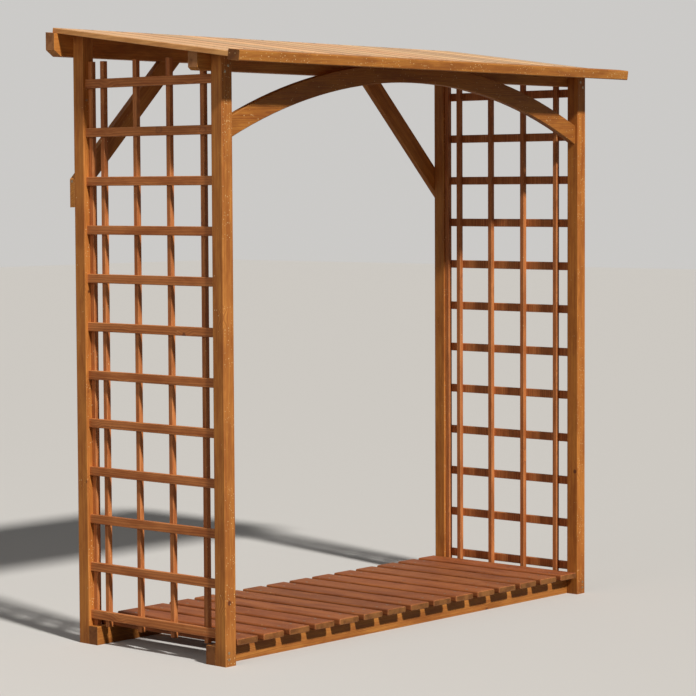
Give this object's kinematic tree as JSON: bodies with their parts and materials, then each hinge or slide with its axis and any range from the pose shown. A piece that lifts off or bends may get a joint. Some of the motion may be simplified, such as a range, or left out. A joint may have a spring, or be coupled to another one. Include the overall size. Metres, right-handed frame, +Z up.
{
  "type": "log store",
  "caption": "Open-fronted lean-to timber log store with a slatted floor, trellised ends, curved arch below the eave and a boarded mono-pitch roof.",
  "frame": {"origin": "on the ground, at the middle of the overall outline in X and Y", "axes": "+X to the right along the open front, +Y from the front to the back, +Z up"},
  "size_m": [1.954, 0.8192, 1.9229],
  "materials": {
    "frame_timber": "planed softwood with an orange-brown stain",
    "trellis_timber": "slim planed softwood bars with an orange-brown stain",
    "floor_timber": "rounded softwood slats with a worn reddish-brown stain",
    "roof_timber": "planed softwood boards with a light brown stain",
    "screw_steel": "zinc-plated steel screw heads, slightly dulled"
  },
  "bodies": {
    "root": {"front_left_post": "frame_timber", "front_right_post": "frame_timber", "rear_left_post": "frame_timber", "rear_right_post": "frame_timber", "front_base_rail": "frame_timber", "rear_base_rail": "frame_timber", "floor_slat_01": "floor_timber", "floor_slat_02": "floor_timber", "floor_slat_03": "floor_timber", "floor_slat_04": "floor_timber", "floor_slat_05": "floor_timber", "floor_slat_06": "floor_timber", "floor_slat_07": "floor_timber", "floor_slat_08": "floor_timber", "floor_slat_09": "floor_timber", "floor_slat_10": "floor_timber", "floor_slat_11": "floor_timber", "floor_slat_12": "floor_timber", "floor_slat_13": "floor_timber", "floor_slat_14": "floor_timber", "floor_slat_15": "floor_timber", "front_beam": "frame_timber", "rear_beam": "frame_timber", "rear_left_brace": "frame_timber", "rear_right_brace": "frame_timber", "front_arch": "frame_timber", "left_trellis": "trellis_timber", "right_trellis": "trellis_timber", "roof_board_01": "roof_timber", "roof_board_02": "roof_timber", "roof_board_03": "roof_timber", "roof_board_04": "roof_timber", "roof_board_05": "roof_timber", "roof_board_06": "roof_timber", "roof_board_07": "roof_timber", "roof_board_08": "roof_timber", "roof_board_09": "roof_timber", "roof_board_10": "roof_timber", "roof_board_11": "roof_timber", "roof_board_12": "roof_timber", "roof_board_13": "roof_timber", "roof_board_14": "roof_timber", "roof_board_15": "roof_timber", "eave_batten": "roof_timber"}
  },
  "joints": []
}
